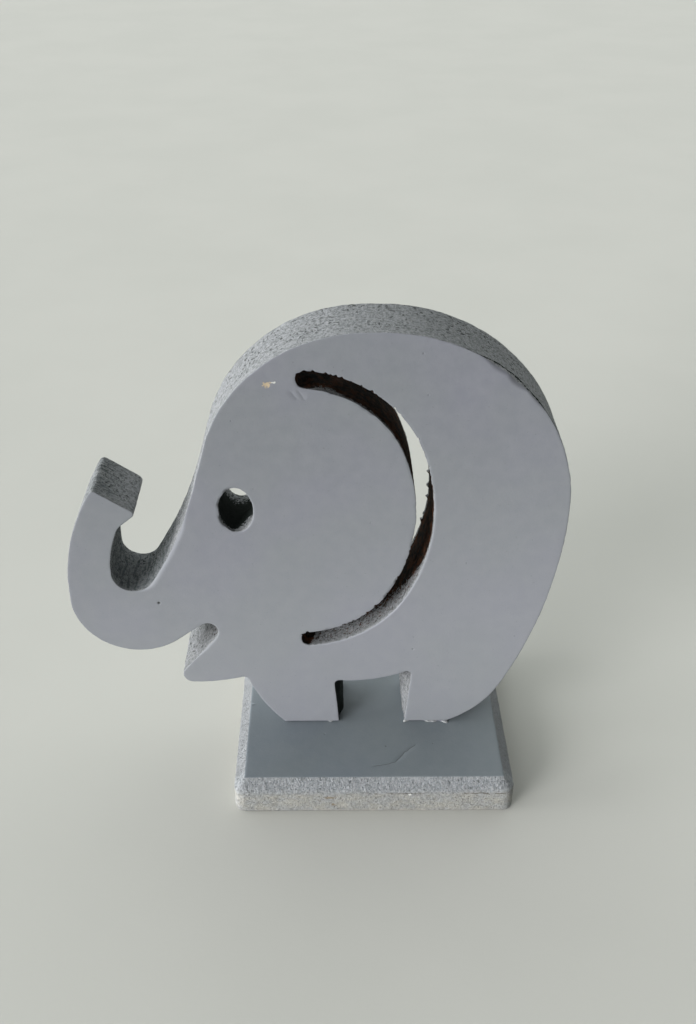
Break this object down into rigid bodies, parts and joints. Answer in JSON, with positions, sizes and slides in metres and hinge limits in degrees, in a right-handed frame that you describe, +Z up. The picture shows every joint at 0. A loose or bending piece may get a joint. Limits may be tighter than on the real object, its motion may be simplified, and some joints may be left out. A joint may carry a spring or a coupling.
{
  "type": "elephant ornament",
  "caption": "Flat fretsawn elephant silhouette with a pierced eye and ear, standing on a chamfered rectangular base plate.",
  "frame": {"origin": "middle of the base plate's underside, on the surface that the ornament stands on", "axes": "+Z up; the elephant faces -X; its front face looks along -Y"},
  "size_m": [0.134, 0.068, 0.1355],
  "materials": {
    "painted_mdf": "matte blue-grey paint on sawn MDF",
    "painted_mdf_base": "matte blue-grey paint on MDF, rough at the chamfers",
    "screw_steel": "yellow zinc plated",
    "wood_glue": "dried glue under paint"
  },
  "bodies": {
    "root": {"elephant_panel": "painted_mdf", "base_plate": "painted_mdf_base", "front_foot_screw": "screw_steel", "rear_foot_screw": "screw_steel", "front_foot_glue": "wood_glue", "rear_foot_glue": "wood_glue"}
  },
  "joints": []
}
